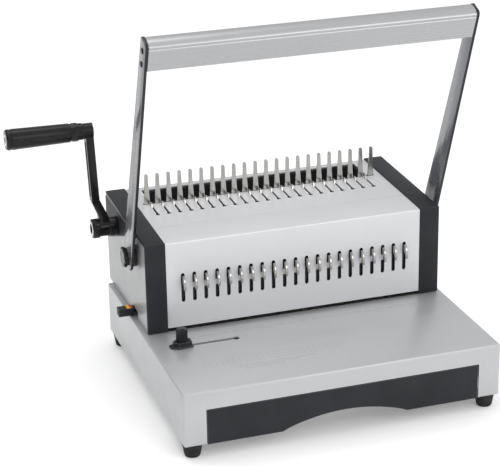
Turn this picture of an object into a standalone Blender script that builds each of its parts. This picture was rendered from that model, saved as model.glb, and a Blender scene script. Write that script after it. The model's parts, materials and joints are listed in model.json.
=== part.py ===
"""Comb binding machine with a punch handle, a comb-opening crank, 21 switchable punches and a chip drawer.

All dimensions below are millimetres. X runs to the user's right, -Y is the user's side and Z is up. While it
is modelled, x = 0 is the middle of the machine and y = 0 is the front cover, and the feet stand at FOOT_Z[0].
CENTRE moves the finished machine so that its footprint is centred on the origin and its feet stand at z = 0.
"""

import math

import bmesh
import bpy
from mathutils import Matrix, Vector

MM = 0.001
GAP = 0.3

# Comb pattern
PITCH = 14.2875
PUNCHES = 21
TINES = PUNCHES + 1
HOLE_W, HOLE_D = 8.0, 3.0

# Base
FOOT_Z = (-3.0, 13.4)
FOOT_R, FOOT_R_LOW = 12.0, 9.5
FOOT_X, FOOT_Y_FRONT, FOOT_Y_REAR = 182.0, -157.0, 160.0
BASE_X = 195.0
BASE_Y = (-170.0, 174.0)
BASE_Z = (FOOT_Z[1] + GAP, 80.2)
SHEET = 2.0
DRAWER_X = 167.0
DRAWER_TOP = 57.0
ARCH_X, ARCH_H, RECESS = 77.0, 15.0, 42.0
GUIDE_SLOT_X, GUIDE_SLOT_Y, GUIDE_SLOT_W = (-172.0, -92.0), -45.0, 5.0

# Upper body
BODY_X = 189.0
CAP_W = 25.5
CAP_Z, CAP_T = 195.5, 3.3
COVER_X = BODY_X - CAP_W - GAP
COVER_Z = (85.0, 194.0)
COVER_T = 1.5
COVER_FOLD_Y = 50.0
SLOT_Z = (116.5, 154.0)
SLOT_W = 4.8
REAR_Y = 187.5
TOP_RISE = 5.5
BODY_FOOT_Z = BASE_Z[1] + 0.6
FRAME_X, FRAME_T = 166.0, 3.0
OPENING_X, OPENING_Y = 145.0, (127.5, 176.5)
TINE_NOTCH_X, TINE_NOTCH_Y = 155.0, 131.8
KEYHOLE_Y = (89.0, 124.5)
HOOK_OFFSET = -3.4

# Punch drive
PIVOT_Y, PIVOT_Z = 48.0, 165.0
PINION_R, PINION_TEETH = 12.0, 12
TOOTH_ADD, TOOTH_DED, TOOTH_W = 1.5, 2.1, 2.5
PUNCH_Y = (3.2, 6.2)
PUNCH_Z = (91.0, 162.0)
HANDLE_RACK_X = (146.0, 158.0)

# Handle
ARM_X, ARM_T = 198.0, 3.6
ARM_LEAN = math.radians(22.0)
ARM_LEN = 321.0
ARM_W_LOW, ARM_W_TOP = 35.0, 21.0
BAR_LOW, BAR_DEPTH, BAR_DOME = 285.0, 22.0, 5.0
KNOB_R, KNOB_LEN = 13.0, 6.0

# Comb opener
CRANK_Y, CRANK_Z = 133.0, 173.0
CRANK_RACK_X = (157.5, 162.5)
CRANK_OUT, CRANK_IN = -221.5, -189.6
CRANK_ARM_X, CRANK_ARM_LEAN = (-224.0, -214.0), 3.5
GRIP_Z = 301.0
GRIP_X = (-321.0, -227.0)
TINE_Y = (128.2, 130.2)
TINE_TIP_Z, TINE_SHOULDER_Z = 237.0, 223.0

# Side lever
LEVER_Y = 66.0
LEVER_X, LEVER_H = -209.0, 10.5
STOP_Y = (9.4, 12.4)

CENTRE = ((GRIP_X[0] + ARM_X + GAP + KNOB_LEN) / 2, (BASE_Y[0] + REAR_Y) / 2, FOOT_Z[0])

SILVER = ("silver_paint", (0.56, 0.56, 0.57), 0.55, 0.32)
CHARCOAL = ("charcoal_plastic", (0.035, 0.036, 0.04), 0.0, 0.5)
BLACK = ("black_paint", (0.012, 0.012, 0.014), 0.0, 0.28)
RUBBER = ("black_rubber", (0.015, 0.015, 0.015), 0.0, 0.75)
STEEL = ("bright_steel", (0.62, 0.61, 0.59), 1.0, 0.3)
ALUMINIUM = ("anodised_aluminium", (0.6, 0.6, 0.61), 0.9, 0.35)


def clear_scene():
    for obj in list(bpy.data.objects):
        bpy.data.objects.remove(obj, do_unlink=True)


def make_collection(name, hidden=False):
    collection = bpy.data.collections.new(name)
    bpy.context.scene.collection.children.link(collection)
    collection.hide_render = hidden
    return collection


clear_scene()
MACHINE = make_collection("comb_binding_machine")
CUTTERS = make_collection("cutters", hidden=True)


def material(spec):
    name, colour, metallic, roughness = spec
    found = bpy.data.materials.get(name)
    if found:
        return found
    made = bpy.data.materials.new(name)
    made.use_nodes = True
    shader = made.node_tree.nodes["Principled BSDF"]
    shader.inputs["Base Color"].default_value = (*colour, 1.0)
    shader.inputs["Metallic"].default_value = metallic
    shader.inputs["Roughness"].default_value = roughness
    return made


def finish(name, mesh_data, spec, smooth=None):
    """Turns a bmesh drawn in millimetres into an object; no material spec makes it a cutter."""
    bmesh.ops.recalc_face_normals(mesh_data, faces=mesh_data.faces)
    bmesh.ops.scale(mesh_data, vec=(MM, MM, MM), verts=mesh_data.verts)
    mesh = bpy.data.meshes.new(name)
    mesh_data.to_mesh(mesh)
    mesh_data.free()
    obj = bpy.data.objects.new(name, mesh)
    if smooth:
        mesh.polygons.foreach_set("use_smooth", [True] * len(mesh.polygons))
        mesh.set_sharp_from_angle(angle=math.radians(smooth))
    if spec:
        mesh.materials.append(material(spec))
        MACHINE.objects.link(obj)
    else:
        obj.hide_render = True
        obj.display_type = "WIRE"
        CUTTERS.objects.link(obj)
    return obj


def place(axis, u, v, w):
    """A point w along the axis and at (u, v) across it: (y, z) for X, (x, z) for Y and (x, y) for Z."""
    return {"X": (w, u, v), "Y": (u, w, v), "Z": (u, v, w)}[axis]


def add_prism(mesh_data, outline, axis, span, holes=()):
    """Adds the outline, less its holes, extruded over span along the axis."""
    edges = []
    for loop in (outline, *holes):
        verts = [mesh_data.verts.new(place(axis, u, v, span[0])) for u, v in loop]
        edges += [mesh_data.edges.new((a, b)) for a, b in zip(verts, verts[1:] + verts[:1])]
    filled = bmesh.ops.triangle_fill(mesh_data, use_beauty=True, edges=edges)
    faces = [item for item in filled["geom"] if isinstance(item, bmesh.types.BMFace)]
    raised = bmesh.ops.extrude_face_region(mesh_data, geom=faces, use_keep_orig=True)
    moved = [item for item in raised["geom"] if isinstance(item, bmesh.types.BMVert)]
    shift = Vector(place(axis, 0.0, 0.0, span[1] - span[0]))
    bmesh.ops.translate(mesh_data, vec=shift, verts=moved)


def prism(name, outline, axis, span, spec, holes=(), smooth=None):
    mesh_data = bmesh.new()
    add_prism(mesh_data, outline, axis, span, holes)
    return finish(name, mesh_data, spec, smooth)


def prisms(name, outlines, axis, spans, spec=None):
    """One object made of several separate prisms, for use as a cutter or as an operand."""
    mesh_data = bmesh.new()
    for outline, span in zip(outlines, spans):
        add_prism(mesh_data, outline, axis, span)
    return finish(name, mesh_data, spec)


def box(name, x, y, z, spec):
    return prism(name, rectangle(x, y), "Z", z, spec)


def rectangle(u, v):
    return [(u[0], v[0]), (u[1], v[0]), (u[1], v[1]), (u[0], v[1])]


def arc(centre, radius, start, end, steps):
    """Points from the start angle to the end angle, both in degrees and both included."""
    angles = [math.radians(start + (end - start) * i / steps) for i in range(steps + 1)]
    return [(centre[0] + radius * math.cos(a), centre[1] + radius * math.sin(a)) for a in angles]


def circle(centre, radius, steps=24):
    return arc(centre, radius, 0, 360, steps)[:-1]


def rounded(u, v, radius, steps=4):
    """A rectangle with rounded corners."""
    corners = ((u[1], v[1], 0), (u[0], v[1], 90), (u[0], v[0], 180), (u[1], v[0], 270))
    middle = ((u[0] + u[1]) / 2, (v[0] + v[1]) / 2)
    points = []
    for cu, cv, start in corners:
        centre = (cu + math.copysign(radius, middle[0] - cu), cv + math.copysign(radius, middle[1] - cv))
        points += arc(centre, radius, start, start + 90, steps)
    return points


def turned(name, profile, centre, spec, steps=32, wobble=None, smooth=35):
    """A solid turned about an axis along X through centre = (y, z); the profile is (x, radius) pairs.

    wobble(i) scales the radius of line i of points, for knurls and lobes; it leaves the ends on the axis.
    """
    mesh_data = bmesh.new()
    rings = []
    for x, radius in profile:
        ring = []
        for i in range(steps):
            angle = 2 * math.pi * i / steps
            r = radius * (wobble(i, x) if wobble else 1.0)
            point = (x, centre[0] + r * math.cos(angle), centre[1] + r * math.sin(angle))
            ring.append(mesh_data.verts.new(point))
        rings.append(ring)
    for low, high in zip(rings, rings[1:]):
        for i in range(steps):
            j = (i + 1) % steps
            mesh_data.faces.new((low[i], low[j], high[j], high[i]))
    mesh_data.faces.new(rings[0])
    mesh_data.faces.new(rings[-1])
    return finish(name, mesh_data, spec, smooth)


def bevel(obj, width, segments=2):
    modifier = obj.modifiers.new("rounded_edges", "BEVEL")
    modifier.width = width * MM
    modifier.segments = segments
    modifier.limit_method = "ANGLE"
    modifier.angle_limit = math.radians(40)


def combine(obj, other, operation):
    modifier = obj.modifiers.new(other.name, "BOOLEAN")
    modifier.operation = operation
    modifier.solver = "EXACT"
    modifier.object = other


def cut(obj, cutter):
    combine(obj, cutter, "DIFFERENCE")


def add(obj, other):
    combine(obj, other, "UNION")


def set_origin(obj, point):
    """Puts a moving piece's origin on its joint axis."""
    offset = Vector(point) * MM
    obj.data.transform(Matrix.Translation(-offset))
    obj.location = offset


def comb_x(index, count=PUNCHES):
    return (index - (count - 1) / 2) * PITCH


def rise(y):
    """How much higher the sloping top is at y than at the front cover."""
    return TOP_RISE * y / REAR_Y


def gear(teeth, radius, phase):
    """A spur wheel outline. At phase 0 a tooth points along +u."""
    points = []
    root, tip = radius - TOOTH_DED, radius + TOOTH_ADD
    for tooth in range(teeth):
        middle = phase + 2 * math.pi * tooth / teeth
        for r, half in ((root, 0.75), (tip, 0.28), (tip, -0.28), (root, -0.75)):
            angle = middle - half * TOOTH_W / radius
            points.append((r * math.cos(angle), r * math.sin(angle)))
    return points


def rack_teeth(first, count, pitch_line, sign):
    """Tooth points of a rack: (position along it, position across it), with teeth pointing to sign."""
    spacing = 2 * math.pi * PINION_R / PINION_TEETH
    points = []
    for tooth in range(count):
        middle = first + tooth * spacing
        for step, across in ((-0.75, -TOOTH_DED), (-0.28, TOOTH_ADD), (0.28, TOOTH_ADD), (0.75, -TOOTH_DED)):
            points.append((middle + step * TOOTH_W, pitch_line + sign * across))
    return points


# Base -----------------------------------------------------------------------------------------------------


def base_cover():
    cover = box("base_cover", (-BASE_X, BASE_X), BASE_Y, BASE_Z, SILVER)
    bevel(cover, 2.5, 3)
    inner = (BASE_Y[0] + SHEET, BASE_Y[1] - SHEET)
    cut(cover, box("base_hollow", (-BASE_X + SHEET, BASE_X - SHEET), inner, (0, BASE_Z[1] - SHEET), None))
    mouth = rectangle((-DRAWER_X - 1, DRAWER_X + 1), (0, DRAWER_TOP + 1))
    cut(cover, prism("drawer_mouth", mouth, "Y", (BASE_Y[0] - 9, BASE_Y[0] + 9), None))
    half = GUIDE_SLOT_W / 2
    slot = rounded(GUIDE_SLOT_X, (GUIDE_SLOT_Y - half, GUIDE_SLOT_Y + half), half - 0.01, 5)
    throat = rectangle((-FRAME_X + 1, FRAME_X - 1), (1.0, 14.0))
    dial = circle((GUIDE_SLOT_X[1], GUIDE_SLOT_Y), GUIDE_SLOT_W * 0.85, 16)
    span = (BASE_Z[1] - 9, BASE_Z[1] + 9)
    cut(cover, prisms("table_slots", [slot, throat], "Z", [span, span]))
    cut(cover, prisms("slot_end", [dial], "Z", [span]))
    return cover


def base_plate():
    low = BASE_Z[0]
    x = BASE_X - SHEET - GAP
    y = (BASE_Y[0] + RECESS + 8.0, BASE_Y[1] - SHEET - GAP)
    return box("base_plate", (-x, x), y, (low, low + 1.6), SILVER)


def feet():
    low, high = FOOT_Z
    rim = [(low, FOOT_R_LOW - 2.5), (low + 0.7, FOOT_R_LOW - 0.8), (low + 2.2, FOOT_R_LOW), (high, FOOT_R)]
    for side, x in (("left", -FOOT_X), ("right", FOOT_X)):
        for end, y in (("front", FOOT_Y_FRONT), ("rear", FOOT_Y_REAR)):
            mesh_data = bmesh.new()
            rings = []
            for z, radius in rim:
                rings.append([mesh_data.verts.new((u, v, z)) for u, v in circle((x, y), radius)])
            for ring, above in zip(rings, rings[1:]):
                for i in range(len(ring)):
                    j = (i + 1) % len(ring)
                    mesh_data.faces.new((ring[i], ring[j], above[j], above[i]))
            mesh_data.faces.new(rings[0])
            mesh_data.faces.new(rings[-1])
            finish(f"foot_{end}_{side}", mesh_data, RUBBER, smooth=50)


def chip_drawer():
    front_y = BASE_Y[0]
    panel_z = (BASE_Z[0], DRAWER_TOP)
    steps = 18
    arch = []
    for i in range(steps + 1):
        x = ARCH_X - 2 * ARCH_X * i / steps
        arch.append((x, panel_z[0] + ARCH_H * math.cos(math.pi * x / (2 * ARCH_X)) ** 0.8))
    low, high = panel_z
    outline = [(-DRAWER_X, low), (-DRAWER_X, high), (DRAWER_X, high), (DRAWER_X, low)]
    arch[0] = (ARCH_X, panel_z[0])
    arch[-1] = (-ARCH_X, panel_z[0])
    panel = prism("drawer_front", outline + arch, "Y", (front_y + 0.4, front_y + 3.6), CHARCOAL)
    tray_x, tray_y = (4 - DRAWER_X, DRAWER_X - 4), (front_y + 3.9, 62.0)
    tray_z = (BASE_Z[0] + 2.0, DRAWER_TOP - 4)
    tray = box("chip_drawer", tray_x, tray_y, tray_z, CHARCOAL)
    inner = rounded((tray_x[0] + 2, tray_x[1] - 2), (tray_y[0] + 2, tray_y[1] - 2), 6.0, 3)
    cut(tray, prism("tray_hollow", inner, "Z", (tray_z[0] + 2, tray_z[1] + 9), None))
    recess_x, recess_y, recess_top = ARCH_X + 3, tray_y[0] + RECESS, panel_z[0] + ARCH_H + 2
    walls_y, walls_z = (tray_y[0] + 0.5, recess_y + 2), (tray_z[0] + 0.5, recess_top + 2)
    add(tray, box("recess_walls", (-recess_x - 2, recess_x + 2), walls_y, walls_z, None))
    recess_z = (tray_z[0] - 9, recess_top)
    cut(tray, box("finger_recess", (-recess_x, recess_x), (tray_y[0] - 9, recess_y), recess_z, None))
    for obj in (panel, tray):
        set_origin(obj, (0, front_y, panel_z[0]))


def edge_guide():
    x, y, top = -159.0, GUIDE_SLOT_Y, BASE_Z[1] + GAP
    boat = [(12.5, -7), (12.5, 7), (-6, 9.5), (-15, 4), (-15, -4), (-6, -9.5)]
    body = [(11.0, -5.5), (11.0, 5.5), (-5, 7), (-11, 2), (-11, -2), (-5, -7)]
    boat, body = ([(x + u, y + v) for u, v in outline] for outline in (boat, body))
    flange = prism("edge_guide", boat, "Z", (top, top + 1.4), CHARCOAL)
    bevel(flange, 0.4)
    add(flange, prism("guide_body", body, "Z", (top + 0.7, top + 6.5), None))
    half = GUIDE_SLOT_W / 2 - GAP
    key = rectangle((x - 5, x + 5), (y - half, y + half))
    add(flange, prism("guide_key", key, "Z", (top - 3.6, top + 0.7), None))
    set_origin(flange, (x, y, top))
    flutes = 14
    outline = []
    for i in range(flutes * 4):
        angle = 2 * math.pi * i / (flutes * 4)
        radius = 7.0 if i % 4 < 2 else 6.3
        outline.append((x + radius * math.cos(angle), y + radius * math.sin(angle)))
    knob = prism("guide_knob", outline, "Z", (top + 6.8, top + 22.0), BLACK, smooth=50)
    bevel(knob, 0.5)
    set_origin(knob, (x, y, top + 6.8))


# Upper body -----------------------------------------------------------------------------------------------


def side_plates():
    """Folded sheets: the outer side and a narrow flange across the back."""
    t = 1.6
    outer = BODY_X - 0.4
    inner_edge = COVER_X + 0.6
    for side, sign in (("left", -1), ("right", 1)):
        front, rear = 2.1, REAR_Y
        fold = [
            (outer, front), (outer, rear), (inner_edge, rear), (inner_edge, rear - t), (outer - t, rear - t),
            (outer - t, front),
        ]
        outline = [(sign * x, y) for x, y in fold]
        plate = prism(f"side_plate_{side}", outline, "Z", (BODY_FOOT_Z, CAP_Z + TOP_RISE), SILVER)
        slope = [(y, CAP_Z - CAP_T - GAP + rise(y)) for y in (-20.0, REAR_Y + 20.0)]
        above = slope + [(REAR_Y + 20.0, CAP_Z + 20.0), (-20.0, CAP_Z + 20.0)]
        across = (sign * (outer - 9), sign * (outer + 9))
        openings = [circle((PIVOT_Y, PIVOT_Z), 8.0)]
        if side == "left":
            openings += [circle((CRANK_Y, CRANK_Z), 5.0)]
            openings += [rectangle((LEVER_Y - 20, LEVER_Y + 7), (BODY_FOOT_Z - 5, BODY_FOOT_Z + 10.5))]
        cut(plate, prisms(f"side_openings_{side}", openings, "X", [across] * len(openings)))
        cut(plate, prism(f"above_side_{side}", above, "X", (-BODY_X - 9, BODY_X + 9), None))


def end_caps():
    """Bands over the top and down the front of each end."""
    for side, sign in (("left", -1), ("right", 1)):
        rear_z = CAP_Z + TOP_RISE
        band = [
            (-2.0, BODY_FOOT_Z), (-2.0, CAP_Z), (REAR_Y, rear_z), (REAR_Y, rear_z - CAP_T),
            (1.4, CAP_Z - CAP_T), (1.4, BODY_FOOT_Z),
        ]
        span = (sign * (BODY_X - CAP_W), sign * BODY_X)
        cap = prism(f"end_cap_{side}", band, "X", span, CHARCOAL)
        bevel(cap, 1.4, 3)


def slot_outline(x, span, width, steps=6):
    half = width / 2
    top = arc((x, span[1] - half), half, 0, 180, steps)
    low = arc((x, span[0] + half), half, 180, 360, steps)
    return top + low


def front_cover():
    """One sheet: the front with its 21 slots, folded back over the top."""
    low, high = COVER_Z
    seam = high + rise(COVER_FOLD_Y)
    fold = [
        (-0.5, low), (-0.5, high - 2.0), (0.1, high - 0.6), (1.5, high), (COVER_FOLD_Y, seam),
        (COVER_FOLD_Y, seam - COVER_T), (2.0, high - COVER_T), (1.0, high - 2.5), (1.0, low),
    ]
    cover = prism("front_cover", fold, "X", (-COVER_X, COVER_X), SILVER)
    slots = [slot_outline(comb_x(i), SLOT_Z, SLOT_W) for i in range(PUNCHES)]
    cut(cover, prisms("front_slots", slots, "Y", [(-9, 9)] * PUNCHES))


def keyhole(x):
    """A narrow slot along Y whose front end opens out to a round."""
    half, radius = 1.3, 3.0
    reach = math.degrees(math.asin(half / radius))
    low = arc((x, KEYHOLE_Y[0] + radius), radius, 90 + reach, 450 - reach, 9)
    high = arc((x, KEYHOLE_Y[1] - half), half, 0, 180, 4)
    return low + high


def top_plate():
    """Top sheet with the hook slots and the comb opening, folded down over the back."""
    high = COVER_Z[1] + TOP_RISE
    front = COVER_FOLD_Y + 0.4
    seam = COVER_Z[1] + rise(front)
    fold = [
        (front, seam), (REAR_Y - 2.0, high), (REAR_Y - 0.6, high - 0.6), (REAR_Y, high - 2.0),
        (REAR_Y, BODY_FOOT_Z), (REAR_Y - COVER_T, BODY_FOOT_Z), (REAR_Y - COVER_T, high - 2.5),
        (REAR_Y - 2.5, high - COVER_T),
        (front, seam - COVER_T),
    ]
    plate = prism("top_plate", fold, "X", (-COVER_X, COVER_X), SILVER)
    span = (high - 15, high + 9)
    notch = (OPENING_Y[0], TINE_NOTCH_Y)
    opening = rectangle((-TINE_NOTCH_X, TINE_NOTCH_X), notch)[:2]
    opening += [(TINE_NOTCH_X, notch[1]), (OPENING_X, notch[1]), (OPENING_X, OPENING_Y[1])]
    opening += [(-OPENING_X, OPENING_Y[1]), (-OPENING_X, notch[1]), (-TINE_NOTCH_X, notch[1])]
    openings = [opening] + [keyhole(comb_x(i) + HOOK_OFFSET) for i in range(PUNCHES)]
    cut(plate, prisms("top_openings", openings, "Z", [span] * len(openings)))


def frames():
    """Inner side walls that carry both shafts."""
    for side, sign in (("left", -1), ("right", 1)):
        span = (sign * FRAME_X, sign * (FRAME_X + FRAME_T))
        outline = rectangle((3.0, 182.0), (BODY_FOOT_Z, COVER_Z[1] - 3.0))
        holes = [circle((PIVOT_Y, PIVOT_Z), 7.4), circle((CRANK_Y, CRANK_Z), 4.4, 16)]
        holes.append(rectangle((LEVER_Y - 20, LEVER_Y + 6), (BODY_FOOT_Z + 0.8, BODY_FOOT_Z + 9.5)))
        prism(f"frame_{side}", outline, "X", span, STEEL, holes)


def punch_holes(clearance):
    half_w, half_d = HOLE_W / 2 + clearance, HOLE_D / 2 + clearance
    middle = sum(PUNCH_Y) / 2
    y = (middle - half_d, middle + half_d)
    return [rectangle((comb_x(i) - half_w, comb_x(i) + half_w), y) for i in range(PUNCHES)]


def die_set():
    """The steel bars above and below the paper throat that the punches pass through."""
    x = FRAME_X - 1.4
    die = rectangle((-x, x), (1.4, 13.6))
    prism("die_plate", die, "Z", (BASE_Z[1] - 7.0, BASE_Z[1] - 0.1), STEEL, punch_holes(0.35))
    guide = rectangle((-x, x), (1.5, 9.0))
    prism("punch_guide", guide, "Z", (COVER_Z[0] + 0.4, COVER_Z[0] + 5.0), STEEL, punch_holes(0.35))


def tine_plate():
    """A flat steel comb standing up through the top."""
    foot, neck, tip = 4.2, 2.5, 2.2
    base_z = (CRANK_Z + 6.0, COVER_Z[1] - 1.8)
    edge = comb_x(TINES - 1, TINES) + foot
    outline = [(-edge, base_z[0])]
    for i in range(TINES):
        x = comb_x(i, TINES)
        outline += [(x - foot, base_z[1]), (x - neck, TINE_SHOULDER_Z), (x - tip, TINE_TIP_Z - tip)]
        outline += arc((x, TINE_TIP_Z - tip), tip, 144, 36, 3)
        outline += [(x + tip, TINE_TIP_Z - tip), (x + neck, TINE_SHOULDER_Z), (x + foot, base_z[1])]
    outline.append((edge, base_z[0]))
    prism("tine_plate", outline, "Y", TINE_Y, STEEL)


def comb_channel():
    x, y = OPENING_X + 0.8, (OPENING_Y[0] + 3.4, OPENING_Y[1] + 2.0)
    z = (CRANK_Z + 6.0, COVER_Z[1] - COVER_T - GAP + rise(y[0]))
    channel = box("comb_channel", (-x, x), y, z, CHARCOAL)
    pocket = rounded((-x + 2, x - 2), (y[0] + 2, y[1] - 2), 2.0, 2)
    cut(channel, prism("channel_pocket", pocket, "Z", (z[0] + 2, z[1] + 9), None))


# Punch drive ----------------------------------------------------------------------------------------------


def handle_point(across, along):
    """A point of the handle in the (y, z) plane: across is towards the back, along runs up the arms."""
    s, c = math.sin(ARM_LEAN), math.cos(ARM_LEAN)
    return (PIVOT_Y - along * s + across * c, PIVOT_Z + along * c + across * s)


def handle():
    low, top = ARM_W_LOW / 2, ARM_W_TOP / 2
    outline = [(low, 0.0), (top, ARM_LEN - 4.0), (top - 1.2, ARM_LEN - 1.2), (top - 4.0, ARM_LEN)]
    outline += [(4.0 - top, ARM_LEN), (1.2 - top, ARM_LEN - 1.2), (-top, ARM_LEN - 4.0), (-low, 0.0)]
    outline += arc((0, 0), low, 180, 360, 14)[1:-1]
    bore = [handle_point(u, v) for u, v in circle((0, 0), 7.3)]
    for side, sign in (("left", -1), ("right", 1)):
        span = (sign * (ARM_X - ARM_T), sign * ARM_X)
        arm = prism(f"handle_arm_{side}", [handle_point(u, v) for u, v in outline], "X", span, BLACK, [bore])
        bevel(arm, 0.6)
        spacer_span = (sign * (BODY_X + 0.2), sign * (ARM_X - ARM_T - GAP))
        centre = (PIVOT_Y, PIVOT_Z)
        spacer_bore = circle(centre, 7.3)
        spacer = prism(
            f"pivot_spacer_{side}", circle(centre, KNOB_R), "X", spacer_span, BLACK, [spacer_bore], smooth=40
        )
        lobed_knob(side, sign)
        for obj in (arm, spacer):
            set_origin(obj, (0, PIVOT_Y, PIVOT_Z))
    handle_bar()


def lobed_knob(side, sign):
    lobes = 8

    def wobble(i, x):
        return 1.0 if i % 4 in (0, 1) else 0.86

    start = ARM_X + GAP
    profile = [(0.0, 11.0), (2.0, 11.0), (2.3, KNOB_R), (KNOB_LEN - 1.2, KNOB_R), (KNOB_LEN, KNOB_R - 1.5)]
    profile = [(sign * (start + x), r) for x, r in profile]
    knob = turned(f"pivot_knob_{side}", profile, (PIVOT_Y, PIVOT_Z), BLACK, lobes * 4, wobble)
    set_origin(knob, (0, PIVOT_Y, PIVOT_Z))


def handle_bar():
    half = BAR_DEPTH / 2
    edge = ARM_LEN - BAR_DOME
    angles = [math.radians(a) for a in range(15, 166, 15)]
    dome = [(-math.cos(a) * half, edge + BAR_DOME * math.sin(a)) for a in angles]
    section = [(-half, edge - 2.4), (-half + 0.9, edge - 1.6), (-half + 0.9, edge - 0.9), (-half, edge)]
    section += dome
    section += [(half, edge), (half, BAR_LOW + 2), (half - 2, BAR_LOW)]
    section += [(2 - half, BAR_LOW), (-half, BAR_LOW + 2)]
    length = ARM_X - ARM_T - GAP
    outline = [handle_point(u, v) for u, v in section]
    bar = prism("handle_bar", outline, "X", (-length, length), ALUMINIUM, smooth=35)
    set_origin(bar, (0, PIVOT_Y, PIVOT_Z))


def handle_shaft():
    """The cross shaft with the two pinions that drive the punch bar down."""
    centre = (PIVOT_Y, PIVOT_Z)
    shaft = turned("handle_shaft", [(-ARM_X, 7.0), (ARM_X, 7.0)], centre, STEEL)
    wheel = [(PIVOT_Y + u, PIVOT_Z + v) for u, v in gear(PINION_TEETH, PINION_R, 0.0)]
    spans = [HANDLE_RACK_X, (-HANDLE_RACK_X[1], -HANDLE_RACK_X[0])]
    add(shaft, prisms("handle_pinions", [wheel, wheel], "X", spans))
    set_origin(shaft, (0, PIVOT_Y, PIVOT_Z))


def punch_bar():
    """The beam that pushes the punches: a channel section with a rack at each end."""
    section = [
        (7.0, 137.5), (28.0, 137.5), (28.0, 158.5), (7.0, 158.5), (7.0, 151.8), (17.0, 151.8), (17.0, 140.2),
        (7.0, 140.2),
    ]
    bar = prism("punch_bar", section, "X", (-FRAME_X + 3, FRAME_X - 3), STEEL)
    line = PIVOT_Y - PINION_R
    spacing = 2 * math.pi * PINION_R / PINION_TEETH
    teeth = rack_teeth(PIVOT_Z - 0.5 * spacing, 5, line, 1)
    rack = [(20.0, 150.0)] + [(line - TOOTH_DED, 150.0)] + [(v, u) for u, v in teeth]
    rack += [(line - TOOTH_DED, 190.5), (20.0, 190.5)]
    spans = [HANDLE_RACK_X, (-HANDLE_RACK_X[1], -HANDLE_RACK_X[0])]
    add(bar, prisms("punch_racks", [rack, rack], "X", spans))
    set_origin(bar, (0, PUNCH_Y[1], PUNCH_Z[1]))


def punch_row():
    """The row of punches with the strip that joins their tops, slotted for the selectors."""
    strip_low = PUNCH_Z[1] - 8.0
    half = HOLE_W / 2
    edge = comb_x(PUNCHES - 1) + half
    outline = [(edge, PUNCH_Z[1]), (-edge, PUNCH_Z[1])]
    for i in range(PUNCHES):
        x = comb_x(i)
        tip = PUNCH_Z[0] + 1.5 * (i % 3)
        outline += [(x - half, strip_low), (x - half, tip), (x, tip + 1.2)]
        outline += [(x + half, tip), (x + half, strip_low)]
    outline = outline[:2] + outline[3:-1]
    slots = [rectangle((comb_x(i) - 1.8, comb_x(i) + 1.8), (139.0, 152.6)) for i in range(PUNCHES)]
    row = prism("punch_row", outline, "Y", PUNCH_Y, STEEL, slots)
    set_origin(row, (0, PUNCH_Y[1], PUNCH_Z[1]))


def die_selectors():
    """Hooked tabs, one for each punch: pulled out, a tab frees its punch from the bar."""
    stem = (142.2, 149.8)
    outline = [
        (15.5, stem[0]), (15.5, stem[1]), (-0.5, stem[1] + 1.4), (-4.0, stem[1] + 1.2), (-7.2, stem[1] - 0.8),
        (-9.3, stem[1] - 4.6), (-10.2, stem[0] - 1.0), (-10.0, stem[0] - 7.0), (-8.6, stem[0] - 8.4),
        (-7.6, stem[0] - 4.4), (-6.2, stem[0] - 1.8), (-3.8, stem[0] - 0.5),
    ]
    for i in range(PUNCHES):
        x = comb_x(i)
        tab = prism(f"die_selector_{i + 1:02d}", outline, "X", (x - 1.35, x + 1.35), STEEL)
        bevel(tab, 0.35, 1)
        set_origin(tab, (x, 0.0, sum(stem) / 2))


# Comb opener ----------------------------------------------------------------------------------------------


def crank_shaft():
    centre = (CRANK_Y, CRANK_Z)
    shaft = turned("crank_shaft", [(CRANK_OUT + 9.0, 4.0), (FRAME_X + 5, 4.0)], centre, STEEL, 24)
    wheel = [(CRANK_Y + u, CRANK_Z + v) for u, v in gear(PINION_TEETH, PINION_R, 0.0)]
    spans = [CRANK_RACK_X, (-CRANK_RACK_X[1], -CRANK_RACK_X[0])]
    add(shaft, prisms("crank_pinions", [wheel, wheel], "X", spans))
    set_origin(shaft, (0, CRANK_Y, CRANK_Z))


def crank_hub():
    """The ribbed collar outside the arm and the boss inside it, as one turned piece."""
    centre = (CRANK_Y, CRANK_Z)

    def ribs(i, x):
        return 0.955 if i % 2 and CRANK_OUT + 1.2 < x < CRANK_OUT + 8.5 else 1.0

    profile = [
        (CRANK_OUT, 8.6), (CRANK_OUT, 11.0), (CRANK_OUT + 1.3, 12.3), (CRANK_OUT + 8.4, 12.3),
        (CRANK_OUT + 9.0, 11.5), (CRANK_OUT + 9.0, 6.6), (CRANK_IN - 10.4, 6.6), (CRANK_IN - 10.4, 11.4),
        (CRANK_IN - 9.6, 12.0),
        (CRANK_IN - 0.8, 12.0), (CRANK_IN, 11.2),
    ]
    hub = turned("crank_hub", profile, centre, BLACK, 48, ribs)
    cut(hub, turned("hub_bore", [(CRANK_OUT + 8.6, 4.2), (CRANK_IN + 5, 4.2)], centre, None, 24))
    cut(hub, turned("hub_socket", [(CRANK_OUT - 5, 6.2), (CRANK_OUT + 5, 6.2)], centre, None, 24))
    set_origin(hub, (CRANK_OUT, CRANK_Y, CRANK_Z))


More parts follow.
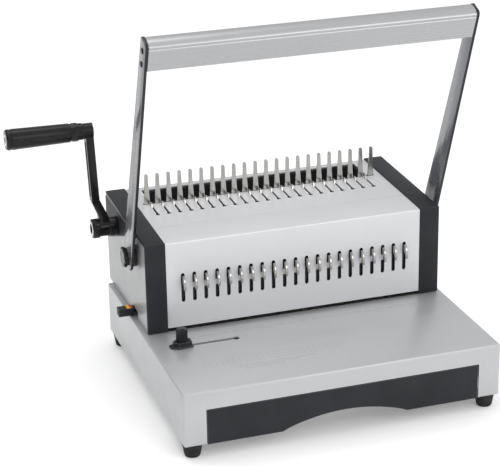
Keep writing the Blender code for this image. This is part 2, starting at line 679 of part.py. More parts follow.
def crank_arm():
    """A square bar with a dog-leg that carries the grip clear of the handle."""
    inner_low, outer_low = CRANK_IN - 10.8, CRANK_OUT + 9.4
    bend_z, step_z = CRANK_Z + 39.0, CRANK_Z + 16.0
    outer, inner = CRANK_ARM_X
    outline = [
        (inner_low, CRANK_Z + 3.0), (inner_low, step_z), (inner + CRANK_ARM_LEAN, bend_z),
        (inner, GRIP_Z + 2), (outer, GRIP_Z + 2), (outer + CRANK_ARM_LEAN, bend_z - 2),
        (outer_low, step_z), (outer_low, CRANK_Z + 3.0),
    ]
    half = 6.8
    arm = prism("crank_arm", outline, "Y", (CRANK_Y - half, CRANK_Y + half), BLACK)
    bevel(arm, 0.7)
    hub_span = (outer_low, inner_low)
    add(arm, prism("arm_eye", circle((CRANK_Y, CRANK_Z), 11.0), "X", hub_span, None))
    add(arm, prism("arm_boss", circle((CRANK_Y, GRIP_Z), 9.6), "X", (GRIP_X[1] + 0.6, inner), None))
    bore_span = (outer_low - 5, inner_low + 5)
    cut(arm, prism("arm_bore", circle((CRANK_Y, CRANK_Z), 6.9), "X", bore_span, None))
    low, high = outer + CRANK_ARM_LEAN, outer + 0.5
    groove = [(low - 5, bend_z + 4), (low + 1.7, bend_z + 4)]
    groove += [(high + 1.7, GRIP_Z - 14), (high - 5, GRIP_Z - 14)]
    cut(arm, prism("arm_groove", groove, "Y", (CRANK_Y - 3.0, CRANK_Y + 3.0), None))
    set_origin(arm, (0, CRANK_Y, CRANK_Z))


def crank_grip():
    left, right = GRIP_X
    profile = [
        (left, 8.0), (left, 11.4), (left + 2.0, 12.8), (left + 5.0, 12.9), (left + 5.6, 12.2),
        (left + 6.6, 12.2), (left + 7.2, 12.9), (right - 16.0, 11.7), (right - 15.0, 10.9),
        (right - 13.0, 10.9), (right - 12.0, 11.5), (right - 6.0, 11.4), (right - 5.0, 10.4), (right, 10.4),
    ]
    grip = turned("crank_grip", profile, (CRANK_Y, GRIP_Z), BLACK, 32)
    cut(grip, turned("grip_socket", [(left - 5, 4.0), (left + 3, 4.0)], (CRANK_Y, GRIP_Z), None, 16))
    set_origin(grip, (left, CRANK_Y, GRIP_Z))


def hook_plate():
    """The sliding plate whose 21 hooks open the comb, with a rack at each end."""
    z = (188.0, 190.0)
    plate = box("hook_plate", (-CRANK_RACK_X[1], CRANK_RACK_X[1]), (97.0, 123.5), z, STEEL)
    hook = [
        (114.5, z[0] + 0.6), (122.4, z[0] + 0.6), (122.4, 199.4), (123.4, 201.6), (121.6, 201.8),
        (119.6, 199.6), (118.6, 196.2),
    ]
    middles = [comb_x(i) + HOOK_OFFSET for i in range(PUNCHES)]
    spans = [(x - 0.9, x + 0.9) for x in middles]
    add(plate, prisms("hooks", [hook] * PUNCHES, "X", spans))
    line = CRANK_Z + PINION_R
    spacing = 2 * math.pi * PINION_R / PINION_TEETH
    teeth = rack_teeth(CRANK_Y - 0.5 * spacing, 5, line, -1)
    front, rear = 104.0, CRANK_Y + 30
    rack = [(front, 190.8), (front, line + TOOTH_DED)] + teeth + [(rear, line + TOOTH_DED), (rear, 190.8)]
    rack_spans = [CRANK_RACK_X, (-CRANK_RACK_X[1], -CRANK_RACK_X[0])]
    add(plate, prisms("hook_racks", [rack, rack], "X", rack_spans))
    set_origin(plate, (0, CRANK_Y, line))


def margin_control():
    """The paper stop in the throat, and the side lever that shifts it through a reduction of 5 to 1."""
    low = BODY_FOOT_Z + 0.4
    stop = box("margin_stop", (-FRAME_X + 2, FRAME_X - 2), STOP_Y, (low, low + 3.4), CHARCOAL)
    arm = rectangle((-FRAME_X + 2, -FRAME_X + 10), (STOP_Y[0] + 1, LEVER_Y - 27))
    add(stop, prism("stop_arm", arm, "Z", (low, low + 1.6), None))
    set_origin(stop, (0, STOP_Y[0], low))
    stem = rectangle((-BODY_X - 2, -FRAME_X + 2), (LEVER_Y - 4.5, LEVER_Y + 3.5))
    block = rectangle((LEVER_X, -BODY_X - 0.8), (LEVER_Y - 6, LEVER_Y + 5))
    lever = prism("depth_lever", block, "Z", (BODY_FOOT_Z + 0.2, BODY_FOOT_Z + LEVER_H), CHARCOAL)
    bevel(lever, 0.8)
    ridge_y = [LEVER_Y - 5 + 2.2 * i for i in range(5)]
    ridges = [rectangle((LEVER_X - 1, LEVER_X + 12), (y, y + 0.9)) for y in ridge_y]
    ridge_z = (BODY_FOOT_Z + LEVER_H - 0.8, BODY_FOOT_Z + LEVER_H + 2.0)
    cut(lever, prisms("lever_ridges", ridges, "Z", [ridge_z] * len(ridges)))
    add(lever, prism("lever_stem", stem, "Z", (low + 1.0, low + 3.4), None))
    set_origin(lever, (LEVER_X, LEVER_Y, low))


def centre_machine():
    """Moves every piece so that the footprint is centred on the origin and the feet stand at z = 0."""
    for collection in (MACHINE, CUTTERS):
        for obj in collection.objects:
            obj.location -= Vector(CENTRE) * MM


base_cover()
base_plate()
feet()
chip_drawer()
edge_guide()
side_plates()
end_caps()
front_cover()
top_plate()
frames()
die_set()
tine_plate()
comb_channel()
handle()
handle_shaft()
punch_bar()
punch_row()
die_selectors()
crank_shaft()
crank_hub()
crank_arm()
crank_grip()
hook_plate()
margin_control()
centre_machine()
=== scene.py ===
import json
import math

import bmesh
import bpy
from mathutils import Matrix, Vector


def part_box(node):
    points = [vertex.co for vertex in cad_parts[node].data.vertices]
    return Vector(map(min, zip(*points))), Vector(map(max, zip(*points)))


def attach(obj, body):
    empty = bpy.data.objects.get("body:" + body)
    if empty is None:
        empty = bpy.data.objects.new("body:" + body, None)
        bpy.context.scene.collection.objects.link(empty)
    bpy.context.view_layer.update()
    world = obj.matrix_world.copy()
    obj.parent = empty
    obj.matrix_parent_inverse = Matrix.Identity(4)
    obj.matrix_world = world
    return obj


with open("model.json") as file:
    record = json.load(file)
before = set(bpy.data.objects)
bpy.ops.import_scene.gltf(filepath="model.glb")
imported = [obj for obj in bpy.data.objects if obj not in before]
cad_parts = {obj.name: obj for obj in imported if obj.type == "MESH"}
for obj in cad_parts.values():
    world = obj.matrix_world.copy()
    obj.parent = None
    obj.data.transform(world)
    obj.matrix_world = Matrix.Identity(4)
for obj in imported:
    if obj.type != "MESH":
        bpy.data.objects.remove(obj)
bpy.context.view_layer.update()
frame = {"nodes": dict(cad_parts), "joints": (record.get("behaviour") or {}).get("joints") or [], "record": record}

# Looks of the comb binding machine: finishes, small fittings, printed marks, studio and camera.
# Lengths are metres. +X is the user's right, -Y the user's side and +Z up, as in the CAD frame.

MM = 0.001
NODES = frame["nodes"]
RECORD = frame["record"]

PITCH = 14.2875 * MM
PUNCHES = 21
# Numbers, from the left, of the punches whose slots show no lug in the photograph.
PUNCHES_WITHOUT_LUG = {1, 5, 9, 12, 16, 20, 21}

SMOOTH_BELOW = 32  # degrees between two faces of a CAD node
MERGE_WITHIN = 0.003 * MM

FLOOR_HALF = 6.0
LIGHT_TARGET = (0, 0, 0.15)
# Name, place, width and power in watts of each soft light.
SOFTBOXES = (
    ("overhead", (-0.5, 0.5, 2.0), 1.6, 15),
    ("left_rear", (-2.0, 1.1, 0.9), 1.6, 2),
    ("front_fill", (1.0, -2.2, 1.5), 1.4, 13),
)
SKY_TOWARDS = (0.68, -0.56, 0.47)
SKY_DIM, SKY_BRIGHT = 0.22, 1.1

CAMERA_AZIMUTH, CAMERA_ELEVATION, CAMERA_ROLL = 17.91, 21.35, -1.1  # degrees
CAMERA_DISTANCE = 2.08
CAMERA_AIM = (0.0037, 0.0, 0.1927)
CAMERA_LENS = 124.4  # millimetres


# Geometry helpers -----------------------------------------------------------------------------------------


def joint(name):
    return next(item for item in frame["joints"] if item["name"] == name)


def punch_x(row_middle, i):
    """The X of punch i, counted from 0 at the left."""
    return row_middle + (i - (PUNCHES - 1) / 2) * PITCH


def new_piece(name, mesh_data, finish, body, smooth_angle=35.0):
    """Turns a bmesh, whose points are in the CAD frame at rest, into a piece that rides on a body."""
    bmesh.ops.recalc_face_normals(mesh_data, faces=mesh_data.faces)
    mesh = bpy.data.meshes.new(name)
    mesh_data.to_mesh(mesh)
    mesh_data.free()
    mesh.materials.append(finish)
    mesh.polygons.foreach_set("use_smooth", [True] * len(mesh.polygons))
    mesh.set_sharp_from_angle(angle=math.radians(smooth_angle))
    piece = bpy.data.objects.new(name, mesh)
    bpy.context.scene.collection.objects.link(piece)
    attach(piece, body)
    return piece


def add_block(mesh_data, low, high, round_off=0.0):
    """A box from corner to corner, with its edges rounded if round_off is given."""
    size = Vector(high) - Vector(low)
    place = Matrix.Translation((Vector(low) + Vector(high)) / 2) @ Matrix.Diagonal((*size, 1.0))
    made = bmesh.ops.create_cube(mesh_data, size=1.0, matrix=place)
    if round_off:
        edges = {edge for vert in made["verts"] for edge in vert.link_edges}
        bmesh.ops.bevel(mesh_data, geom=list(edges), offset=round_off, segments=2, affect="EDGES")


def turned_rings(mesh_data, profile, place, steps):
    """One ring of vertices about local Z for each (radius, height) pair of the profile."""
    rings = []
    for radius, height in profile:
        ring = []
        for i in range(steps):
            angle = 2 * math.pi * i / steps
            point = Vector((radius * math.cos(angle), radius * math.sin(angle), height))
            ring.append(mesh_data.verts.new(place @ point))
        rings.append(ring)
    return rings


def join_loops(mesh_data, first, second):
    """A band of quads between two closed loops with as many vertices."""
    for i in range(len(first)):
        j = (i + 1) % len(first)
        mesh_data.faces.new((first[i], first[j], second[j], second[i]))


def add_turned(mesh_data, profile, place, steps):
    """A solid turned about local Z, closed at both ends of its profile."""
    rings = turned_rings(mesh_data, profile, place, steps)
    for low, high in zip(rings, rings[1:]):
        join_loops(mesh_data, low, high)
    mesh_data.faces.new(rings[0])
    mesh_data.faces.new(rings[-1])


def add_turned_ring(mesh_data, profile, place, steps):
    """A ring turned about local Z, whose profile closes on itself."""
    rings = turned_rings(mesh_data, profile, place, steps)
    for first, second in zip(rings, rings[1:] + rings[:1]):
        join_loops(mesh_data, first, second)


def facing(point, direction):
    """A frame at the point whose Z axis runs along the direction."""
    return Matrix.Translation(point) @ Vector(direction).to_track_quat("Z", "Y").to_matrix().to_4x4()


# Finishes -------------------------------------------------------------------------------------------------


class Finish:
    """A procedural material: a Principled shader whose patterns come from object coordinates in metres."""

    def __init__(self, name, metallic=0.0, **sockets):
        self.material = bpy.data.materials.new(name)
        self.material.use_nodes = True
        self.tree = self.material.node_tree
        self.shader = self.tree.nodes["Principled BSDF"]
        self.shader.inputs["Metallic"].default_value = metallic
        for socket, value in sockets.items():
            self.shader.inputs[socket.replace("_", " ")].default_value = value
        self.place = self.node("ShaderNodeTexCoord").outputs["Object"]
        self.last_normal = None

    def node(self, kind, inputs=None, **settings):
        made = self.tree.nodes.new(kind)
        for key, value in settings.items():
            setattr(made, key, value)
        for key, value in (inputs or {}).items():
            if isinstance(value, bpy.types.NodeSocket):
                self.tree.links.new(value, made.inputs[key])
            else:
                made.inputs[key].default_value = value
        return made

    def noise(self, size, detail=2.0, stretch=(1.0, 1.0, 1.0)):
        """Noise whose features are about `size` metres, drawn out along an axis where stretch is above 1."""
        scale = tuple(1.0 / value for value in stretch)
        spread = self.node("ShaderNodeMapping", {"Vector": self.place, "Scale": scale})
        inputs = {"Vector": spread.outputs["Vector"], "Scale": 1.0 / size, "Detail": detail}
        return self.node("ShaderNodeTexNoise", inputs).outputs["Fac"]

    def cells(self, size):
        inputs = {"Vector": self.place, "Scale": 1.0 / size}
        return self.node("ShaderNodeTexVoronoi", inputs).outputs["Distance"]

    def spread(self, value, low, high, out_low=0.0, out_high=1.0):
        """Maps low..high of a value to out_low..out_high, held at the ends."""
        inputs = {"Value": value, "From Min": low, "From Max": high, "To Min": out_low, "To Max": out_high}
        return self.node("ShaderNodeMapRange", inputs).outputs["Result"]

    def maths(self, operation, first, second):
        made = self.node("ShaderNodeMath", operation=operation)
        for slot, value in zip(made.inputs, (first, second)):
            if isinstance(value, bpy.types.NodeSocket):
                self.tree.links.new(value, slot)
            else:
                slot.default_value = value
        return made.outputs[0]

    def edges(self, width):
        """1 within about `width` of an edge and 0 on the flat."""
        rounded = self.node("ShaderNodeBevel", {"Radius": width}, samples=4).outputs["Normal"]
        flat = self.node("ShaderNodeNewGeometry").outputs["Normal"]
        turn = self.node("ShaderNodeVectorMath", {0: rounded, 1: flat}, operation="DOT_PRODUCT")
        return self.spread(turn.outputs["Value"], 0.995, 0.86)

    def mix(self, factor, low, high):
        """A colour between low and high, each a colour or a socket."""
        made = self.node("ShaderNodeMix", {"Factor": factor}, data_type="RGBA")
        for name, value in (("A", low), ("B", high)):
            socket = next(s for s in made.inputs if s.name == name and s.type == "RGBA")
            if isinstance(value, bpy.types.NodeSocket):
                self.tree.links.new(value, socket)
            else:
                socket.default_value = (*value, 1.0)
        return next(s for s in made.outputs if s.type == "RGBA")

    def set(self, socket, value):
        self.tree.links.new(value, self.shader.inputs[socket])

    def bump(self, height, depth, strength=1.0):
        """Adds relief of about `depth` metres; later calls add to earlier ones."""
        inputs = {"Height": height, "Distance": depth, "Strength": strength}
        if self.last_normal:
            inputs["Normal"] = self.last_normal
        self.last_normal = self.node("ShaderNodeBump", inputs).outputs["Normal"]
        self.set("Normal", self.last_normal)


def silver_paint(name, tone):
    """Satin silver lacquer: fine metal flake under clear coat, with a painted highlight on the folded edges."""
    made = Finish(name, metallic=0.45, Coat_Weight=0.25, Coat_Roughness=0.18)
    greys = ((0.47, 0.475, 0.485), (0.60, 0.605, 0.615), (0.44, 0.445, 0.46))
    low, high, shade = (tuple(tone * value for value in grey) for grey in greys)
    flake = made.noise(0.45 * MM, detail=1.0)
    cloud = made.noise(90 * MM, detail=3.0)
    smear = made.noise(22 * MM, detail=4.0, stretch=(3.0, 1.0, 1.0))
    base = made.mix(flake, low, high)
    base = made.mix(made.spread(cloud, 0.3, 0.7, 0.0, 0.16), base, shade)
    # Painted highlight: the edges are mixed towards a pale grey.
    base = made.mix(made.maths("MULTIPLY", made.edges(1.1 * MM), 0.55), base, (0.86, 0.865, 0.87))
    made.set("Base Color", base)
    made.set("Roughness", made.spread(smear, 0.25, 0.75, 0.36, 0.47))
    made.bump(flake, 0.012 * MM, 0.35)
    return made.material


def charcoal_plastic():
    """Moulded charcoal with a fine spark-eroded grain, a little smoother on the edges and lighter there with a
    painted highlight.
    """
    made = Finish("charcoal_plastic", Specular_IOR_Level=0.17)
    grain = made.cells(0.55 * MM)
    cloud = made.noise(45 * MM, detail=3.0)
    base = made.mix(made.spread(cloud, 0.3, 0.7), (0.019, 0.020, 0.023), (0.027, 0.028, 0.032))
    # Painted highlight: the edges are mixed towards a lighter grey and made a little smoother.
    edge_highlight = made.edges(1.3 * MM)
    base = made.mix(edge_highlight, base, (0.13, 0.132, 0.14))
    made.set("Base Color", base)
    grained = made.spread(grain, 0.0, 0.6, 0.36, 0.52)
    made.set("Roughness", made.maths("MULTIPLY", grained, made.spread(edge_highlight, 0.0, 1.0, 1.0, 0.7)))
    made.bump(grain, 0.05 * MM, 0.3)
    return made.material


def black_paint():
    """Black enamel on flat bar: painted sheen on the side faces (normal along X), lighter and partly metallic, and
    a faint painted highlight on the black edges.
    """
    made = Finish("black_paint", Specular_IOR_Level=0.25, Coat_Weight=0.4, Coat_Roughness=0.12)
    # Painted sheen: faces whose normal runs along X get a grey base colour and more metal.
    normal = made.node("ShaderNodeSeparateXYZ", {0: made.node("ShaderNodeNewGeometry").outputs["Normal"]})
    side = made.spread(made.maths("ABSOLUTE", normal.outputs["X"], 0.0), 0.75, 0.95)
    peel = made.noise(3.0 * MM, detail=1.0)
    dust = made.noise(14 * MM, detail=5.0)
    # Faint painted highlight on the edges.
    edge = made.mix(made.edges(0.5 * MM), (0.006, 0.006, 0.007), (0.030, 0.030, 0.034))
    made.set("Base Color", made.mix(side, edge, (0.17, 0.173, 0.19)))
    made.set("Metallic", made.maths("MULTIPLY", side, 0.6))
    made.set("Roughness", made.spread(dust, 0.3, 0.75, 0.26, 0.32))
    made.bump(peel, 0.004 * MM, 0.15)
    return made.material


def black_plastic():
    """Semi-gloss moulded black for the knobs and the grip."""
    made = Finish("black_plastic", Specular_IOR_Level=0.25)
    grain = made.noise(0.5 * MM, detail=2.0)
    wear = made.noise(9 * MM, detail=4.0)
    base = made.mix(made.spread(wear, 0.35, 0.75), (0.006, 0.006, 0.007), (0.012, 0.012, 0.013))
    # Painted highlight: the edges are mixed towards a lighter black.
    base = made.mix(made.maths("MULTIPLY", made.edges(0.6 * MM), 0.6), base, (0.045, 0.045, 0.050))
    made.set("Base Color", base)
    made.set("Roughness", made.spread(wear, 0.3, 0.7, 0.16, 0.24))
    made.bump(grain, 0.02 * MM, 0.3)
    return made.material


def black_rubber():
    """Dull rubber with a bloom of dust low down."""
    made = Finish("black_rubber", Specular_IOR_Level=0.3)
    grain = made.noise(0.9 * MM, detail=4.0)
    dust = made.noise(6 * MM, detail=5.0)
    base = made.mix(made.spread(dust, 0.4, 0.8), (0.010, 0.010, 0.011), (0.030, 0.029, 0.028))
    made.set("Base Color", base)
    made.set("Roughness", made.spread(grain, 0.3, 0.7, 0.68, 0.85))
    made.bump(grain, 0.08 * MM, 0.5)
    return made.material


def steel(name, dark, light, rough, stretch, metallic=1.0):
    """Rolled or ground steel with its scratches along one axis and a painted highlight on its edges."""
    made = Finish(name, metallic=metallic)
    lines = made.noise(0.35 * MM, detail=3.0, stretch=stretch)
    stain = made.noise(12 * MM, detail=4.0)
    base = made.mix(made.spread(stain, 0.25, 0.75), dark, light)
    # Painted highlight: a colour 1.3 times the light one, mixed in along the edges.
    edge_highlight = tuple(1.3 * value for value in light)
    base = made.mix(made.maths("MULTIPLY", made.edges(0.35 * MM), 0.5), base, edge_highlight)
    made.set("Base Color", base)
    made.set("Roughness", made.spread(lines, 0.25, 0.75, *rough))
    made.bump(lines, 0.01 * MM, 0.4)
    return made.material


def anodised_aluminium():
    """Satin anodised extrusion: long faint die lines along X."""
    made = Finish("anodised_aluminium", metallic=0.55)
    lines = made.noise(0.5 * MM, detail=3.0, stretch=(400.0, 1.0, 1.0))
    cloud = made.noise(60 * MM, detail=2.0)
    base = made.mix(made.spread(lines, 0.3, 0.7), (0.405, 0.41, 0.42), (0.425, 0.43, 0.44))
    base = made.mix(made.spread(cloud, 0.35, 0.7, 0.0, 0.2), base, (0.385, 0.39, 0.405))
    made.set("Base Color", base)
    made.set("Roughness", made.spread(lines, 0.3, 0.7, 0.26, 0.30))
    made.bump(lines, 0.003 * MM, 0.1)
    return made.material


def coloured_plastic(name, dark, light):
    """Bright moulded plastic for the two indicator stripes."""
    made = Finish(name, Specular_IOR_Level=0.5)
    cloud = made.noise(3 * MM, detail=3.0)
    made.set("Base Color", made.mix(made.spread(cloud, 0.3, 0.7), dark, light))
    made.set("Roughness", made.spread(cloud, 0.3, 0.7, 0.3, 0.42))
    made.bump(made.noise(0.5 * MM), 0.02 * MM, 0.3)
    return made.material


def printed_grey():
    """Screen-printed ink, worn thin in places."""
    made = Finish("printed_grey")
    wear = made.noise(2.5 * MM, detail=5.0)
    made.set("Base Color", made.mix(made.spread(wear, 0.45, 0.75), (0.27, 0.27, 0.28), (0.44, 0.44, 0.45)))
    made.set("Roughness", made.spread(wear, 0.3, 0.7, 0.45, 0.6))
    return made.material


def studio_floor():
    """White paper that gives back a little light of its own, so that it stays white under the machine."""
    made = Finish("studio_floor", Emission_Color=(1.0, 1.0, 1.0, 1.0), Emission_Strength=0.2)
    cloud = made.noise(0.8, detail=2.0)
    made.set("Base Color", made.mix(made.spread(cloud, 0.3, 0.7), (0.88, 0.88, 0.88), (0.91, 0.91, 0.91)))
    made.set("Roughness", made.spread(cloud, 0.3, 0.7, 0.6, 0.7))
    return made.material


ALONG_X, ALONG_Z = (60.0, 1.0, 1.0), (1.0, 1.0, 60.0)
# One silver paint in three tones: the lighter copy for the front cover and top plate is painted light, and the
# darker copy for the side plates is painted shade.
SILVER = silver_paint("silver_paint", 0.92)
LIT_SILVER = silver_paint("silver_paint_lit", 1.2)
SHADED_SILVER = silver_paint("silver_paint_shaded", 0.66)
CHARCOAL = charcoal_plastic()
PAINT = black_paint()
PLASTIC = black_plastic()
RUBBER = black_rubber()
STEEL = steel("bright_steel", (0.66, 0.655, 0.64), (0.78, 0.775, 0.76), (0.20, 0.36), ALONG_X)
PLATED = steel("plated_steel", (0.35, 0.342, 0.33), (0.45, 0.442, 0.425), (0.16, 0.30), ALONG_Z)
BLUED = steel("blued_steel", (0.012, 0.012, 0.014), (0.03, 0.03, 0.034), (0.35, 0.5), ALONG_Z, metallic=0.6)
ALUMINIUM = anodised_aluminium()
YELLOW = coloured_plastic("yellow_plastic", (0.80, 0.52, 0.02), (0.90, 0.62, 0.04))
RED = coloured_plastic("red_plastic", (0.60, 0.06, 0.015), (0.72, 0.09, 0.02))
INK = printed_grey()

BY_SLOT = {
    "silver_paint": SILVER,
    "charcoal_plastic": CHARCOAL,
    "black_paint": PAINT,
    "black_plastic": PLASTIC,
    "black_rubber": RUBBER,
    "bright_steel": STEEL,
    "anodised_aluminium": ALUMINIUM,
}


# CAD nodes ------------------------------------------------------------------------------------------------


def smoothing_group(angle):
    """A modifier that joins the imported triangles' corners and shades everything below the angle smoothly."""
    group = bpy.data.node_groups.new(f"smooth_below_{angle}", "GeometryNodeTree")
    group.interface.new_socket("Geometry", in_out="INPUT", socket_type="NodeSocketGeometry")
    group.interface.new_socket("Geometry", in_out="OUTPUT", socket_type="NodeSocketGeometry")
    start = group.nodes.new("NodeGroupInput")
    end = group.nodes.new("NodeGroupOutput")
    merge = group.nodes.new("GeometryNodeMergeByDistance")
    merge.inputs["Distance"].default_value = MERGE_WITHIN
    smooth = group.nodes.new("GeometryNodeSetShadeSmooth")
    crease = group.nodes.new("GeometryNodeSetShadeSmooth")
    crease.domain = "EDGE"
    crease.inputs["Shade Smooth"].default_value = False
    bend = group.nodes.new("GeometryNodeInputMeshEdgeAngle")
    sharp = group.nodes.new("FunctionNodeCompare")
    sharp.operation = "GREATER_THAN"
    sharp.inputs["B"].default_value = math.radians(angle)
    link = group.links.new
    link(start.outputs["Geometry"], merge.inputs["Geometry"])
    link(merge.outputs["Geometry"], smooth.inputs["Geometry"])
    link(smooth.outputs["Geometry"], crease.inputs["Geometry"])
    link(bend.outputs["Unsigned Angle"], sharp.inputs["A"])
    link(sharp.outputs["Result"], crease.inputs["Selection"])
    link(crease.outputs["Geometry"], end.inputs["Geometry"])
    return group


def dress_nodes():
    """Gives every CAD node its finish and joined, smoothed surfaces."""
    group = smoothing_group(SMOOTH_BELOW)
    slots = {item["node"]: item["material_slot"] for item in RECORD["subparts"]}
    own_finish = {"tine_plate": PLATED, "punch_row": BLUED, "punch_bar": BLUED, "hook_plate": PLATED}
    own_finish.update({"crank_hub": PLASTIC, "crank_arm": PLASTIC})
    # The front cover and top plate take the painted lighter silver, and the side plates take the painted darker
    # silver.
    own_finish.update({"front_cover": LIT_SILVER, "top_plate": LIT_SILVER})
    own_finish.update({"side_plate_left": SHADED_SILVER, "side_plate_right": SHADED_SILVER})
    own_finish.update({f"die_selector_{i + 1:02d}": PLATED for i in range(PUNCHES)})
    for name, node in NODES.items():
        finish = own_finish.get(name, BY_SLOT[slots[name]])
        node.data.materials.clear()
        node.data.materials.append(finish)
        if "custom_normal" in node.data.attributes:
            node.data.attributes.remove(node.data.attributes["custom_normal"])
        node.modifiers.new("smooth_surface", "NODES").node_group = group


# Fittings -------------------------------------------------------------------------------------------------


def screw_head(mesh_data, place, radius, height):
    """A pan head with a dimple under a thin cross, standing on the XY plane of its place."""
    profile = [(radius * 0.98, 0.0), (radius, height * 0.25)]
    steps = 5
    for i in range(1, steps + 1):
        angle = math.radians(90 * i / (steps + 1))
        profile.append((radius * math.cos(angle) ** 0.6, height * (0.25 + 0.75 * math.sin(angle))))
    profile += [(radius * 0.3, height * 0.97), (radius * 0.24, height * 0.55), (radius * 0.02, height * 0.45)]
    add_turned(mesh_data, profile, place, 24)
    for turn in (0, 90):
        bar_place = place @ Matrix.Rotation(math.radians(turn), 4, "Z")
        size = Matrix.Diagonal((radius * 0.95, radius * 0.16, height * 0.04, 1.0))
        lift = Matrix.Translation((0, 0, height * 0.985))
        bmesh.ops.create_cube(mesh_data, size=1.0, matrix=bar_place @ lift @ size)


def handle_screws():
    """Two screws through each arm into the aluminium bar."""
    pivot = Vector(joint("handle_pull")["pos_m"])
    low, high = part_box("handle_bar")
    centre = (low + high) / 2
    up_arm = Vector((0, centre.y - pivot.y, centre.z - pivot.z)).normalized()
    offsets = (5 * MM, -13 * MM)
    radius, height = 3.6 * MM, 2.0 * MM
    for side, sign in (("left", -1), ("right", 1)):
        arm_low, arm_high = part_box(f"handle_arm_{side}")
        outer = arm_low.x if sign < 0 else arm_high.x
        mesh_data = bmesh.new()
        for offset in offsets:
            point = Vector((outer, centre.y, centre.z)) + up_arm * offset
            screw_head(mesh_data, facing(point, (sign, 0, 0)), radius, height)
        new_piece(f"handle_screws_{side}", mesh_data, PAINT, "handle")


def punch_lugs():
    """Bright lugs on the punches, seen in most of the slots just below the selectors."""
    row_low, row_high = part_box("punch_row")
    middle = (row_low.x + row_high.x) / 2
    half_width, stand_out, sink_in = 2.9 * MM, 1.3 * MM, 0.2 * MM
    bottom, top = row_high.z - 29.5 * MM, row_high.z - 22.5 * MM
    mesh_data = bmesh.new()
    for i in range(PUNCHES):
        if i + 1 in PUNCHES_WITHOUT_LUG:
            continue
        x = punch_x(middle, i)
        low = (x - half_width, row_low.y - stand_out, bottom)
        high = (x + half_width, row_low.y + sink_in, top)
        add_block(mesh_data, low, high, 0.5 * MM)
    new_piece("punch_lugs", mesh_data, PLATED, "punches")


def lever_stripes():
    """A yellow and a red stripe across the top of the margin lever, next to the side plate."""
    low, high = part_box("depth_lever")
    plate_low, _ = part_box("side_plate_left")
    edge = plate_low.x - 0.7 * MM
    inset, sink_in, stand_out = 0.1 * MM, 0.3 * MM, 0.35 * MM
    for name, finish, near, far in (("red_stripe", RED, 2.2, 5.2), ("yellow_stripe", YELLOW, 5.2, 9.2)):
        mesh_data = bmesh.new()
        first = (edge - far * MM, low.y + inset, high.z - sink_in)
        last = (edge - near * MM, high.y - inset, high.z + stand_out)
        add_block(mesh_data, first, last, 0.15 * MM)
        new_piece(name, mesh_data, finish, "margin_lever")


def printed_marks():
    """Plain marks on the table: ticks under each slot, two rows of empty boxes, three rules and a dot."""
    _, table_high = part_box("base_cover")
    cover_low, cover_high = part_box("front_cover")
    middle = (cover_low.x + cover_high.x) / 2
    front = cover_low.y
    low, high = table_high.z - 0.01 * MM, table_high.z + 0.03 * MM
    mesh_data = bmesh.new()

    tick_half, tick_rear = 0.4 * MM, front - 24 * MM
    for i in range(PUNCHES):
        x = punch_x(middle, i)
        for offset, length in ((-4.4, 1.8), (-2.2, 1.8), (0.0, 3.4), (2.2, 1.8), (4.4, 1.8)):
            left = x + offset * MM - tick_half
            tick_low = (left, tick_rear - length * MM, low)
            add_block(mesh_data, tick_low, (left + 2 * tick_half, tick_rear, high))

    boxes_left, boxes_front = middle - 149 * MM, front - 111 * MM
    columns, ranks = 24, 2
    box_wide, box_deep, line = 7.1 * MM, 8.0 * MM, 0.3 * MM
    for i in range(columns + 1):
        left = boxes_left + i * box_wide
        line_high = (left + line, boxes_front + ranks * box_deep, high)
        add_block(mesh_data, (left, boxes_front, low), line_high)
    for rank in range(ranks + 1):
        y = boxes_front + rank * box_deep
        line_high = (boxes_left + columns * box_wide, y + line, high)
        add_block(mesh_data, (boxes_left, y, low), line_high)

    rule_start, rule_step, rule_deep = 8, 4.5, 0.8 * MM
    for rank, (start, length) in enumerate(((37, 96), (37, 72), (41, 50))):
        left, y = boxes_left + start * MM, boxes_front - (rule_start + rule_step * rank) * MM
        add_block(mesh_data, (left, y, low), (left + length * MM, y + rule_deep, high))

    dot_x, dot_y, dot = boxes_left + 170 * MM, boxes_front - 20 * MM, 1.2 * MM
    add_block(mesh_data, (dot_x, dot_y, low), (dot_x + dot, dot_y + dot, high))
    new_piece("printed_marks", mesh_data, INK, "machine")


def dark_side_wedge():
    """A thin charcoal wedge that darkens the upper rear of the left side plate, under the cap and behind the
    crank's hub.
    """
    _, cap_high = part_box("end_cap_left")
    plate_low, plate_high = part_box("side_plate_left")
    rear, top = plate_high.y, cap_high.z
    # Distances in front of the rear edge and below the cap's top, in millimetres.
    corners = ((0, 6), (0, 60), (4, 61), (98, 26), (150, 10), (150, 8.5))
    outline = [(rear - ahead * MM, top - below * MM) for ahead, below in corners]
    inner, outer = plate_low.x + 0.05 * MM, plate_low.x - 0.7 * MM
    mesh_data = bmesh.new()
    near = [mesh_data.verts.new((outer, y, z)) for y, z in outline]
    far = [mesh_data.verts.new((inner, y, z)) for y, z in outline]
    mesh_data.faces.new(near)
    mesh_data.faces.new(far)
    join_loops(mesh_data, near, far)
    new_piece("dark_side_wedge", mesh_data, CHARCOAL, "machine")


def crank_rings():
    """The pale end faces of the crank's collar and of its grip."""
    chamfer, step, tall = 0.4 * MM, 0.25 * MM, 0.5 * MM
    for name, node, body, radius, hole in (
        ("collar_ring", "crank_hub", "crank", 9.6 * MM, 6.4 * MM),
        ("grip_ring", "crank_grip", "grip", 7.2 * MM, 4.2 * MM),
    ):
        low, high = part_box(node)
        centre = Vector((low.x, (low.y + high.y) / 2, (low.z + high.z) / 2))
        profile = [(hole, 0.0), (radius, 0.0), (radius, step), (radius - chamfer, tall)]
        profile += [(hole + chamfer, tall), (hole, step)]
        mesh_data = bmesh.new()
        add_turned_ring(mesh_data, profile, facing(centre, (-1, 0, 0)), 40)
        new_piece(name, mesh_data, STEEL, body)


# Studio ---------------------------------------------------------------------------------------------------


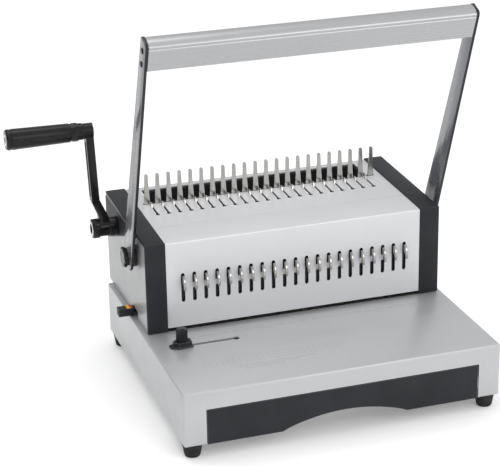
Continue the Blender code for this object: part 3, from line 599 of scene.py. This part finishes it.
def floor():
    """A plain square sheet on the surface the machine stands on."""
    half = FLOOR_HALF
    mesh_data = bmesh.new()
    corners = [(-half, -half), (half, -half), (half, half), (-half, half)]
    mesh_data.faces.new([mesh_data.verts.new((x, y, 0.0)) for x, y in corners])
    mesh = bpy.data.meshes.new("floor")
    mesh_data.to_mesh(mesh)
    mesh_data.free()
    mesh.materials.append(studio_floor())
    made = bpy.data.objects.new("floor", mesh)
    bpy.context.scene.collection.objects.link(made)


def softbox(name, place, width, power):
    """A square area light that looks at the machine."""
    light = bpy.data.lights.new(name, "AREA")
    light.shape = "SQUARE"
    light.size = width
    light.energy = power
    lamp = bpy.data.objects.new(name, light)
    lamp.location = place
    lamp.rotation_euler = (Vector(LIGHT_TARGET) - Vector(place)).to_track_quat("-Z", "Y").to_euler()
    bpy.context.scene.collection.objects.link(lamp)


def sky():
    """A white room, brightest above the machine's front right."""
    world = bpy.data.worlds.new("white_room")
    bpy.context.scene.world = world
    world.use_nodes = True
    tree = world.node_tree
    background = tree.nodes["Background"]
    background.inputs["Strength"].default_value = 1.0
    facing_light = tree.nodes.new("ShaderNodeVectorMath")
    facing_light.operation = "DOT_PRODUCT"
    facing_light.inputs[1].default_value = Vector(SKY_TOWARDS).normalized()
    ramp = tree.nodes.new("ShaderNodeMapRange")
    ramp.inputs["From Min"].default_value = -1.0
    ramp.inputs["From Max"].default_value = 1.0
    ramp.inputs["To Min"].default_value = SKY_DIM
    ramp.inputs["To Max"].default_value = SKY_BRIGHT
    tree.links.new(tree.nodes.new("ShaderNodeTexCoord").outputs["Generated"], facing_light.inputs[0])
    tree.links.new(facing_light.outputs["Value"], ramp.inputs["Value"])
    tree.links.new(ramp.outputs["Result"], background.inputs["Color"])


def camera():
    """Looks from the left and above, with a long lens."""
    azimuth, elevation = math.radians(CAMERA_AZIMUTH), math.radians(CAMERA_ELEVATION)
    level = math.cos(elevation)
    back = Vector((-math.sin(azimuth) * level, -math.cos(azimuth) * level, math.sin(elevation)))
    data = bpy.data.cameras.new("camera")
    data.lens = CAMERA_LENS
    made = bpy.data.objects.new("camera", data)
    made.rotation_mode = "QUATERNION"
    made.location = Vector(CAMERA_AIM) + back * CAMERA_DISTANCE
    tilt = Matrix.Rotation(math.radians(CAMERA_ROLL), 4, "Z").to_quaternion()
    made.rotation_quaternion = (-back).to_track_quat("-Z", "Y") @ tilt
    bpy.context.scene.collection.objects.link(made)
    bpy.context.scene.camera = made


dress_nodes()
handle_screws()
punch_lugs()
lever_stripes()
printed_marks()
dark_side_wedge()
crank_rings()
floor()
sky()
for light_name, light_place, light_width, light_power in SOFTBOXES:
    softbox(light_name, light_place, light_width, light_power)
camera()
bpy.context.scene.view_settings.view_transform = "Standard"
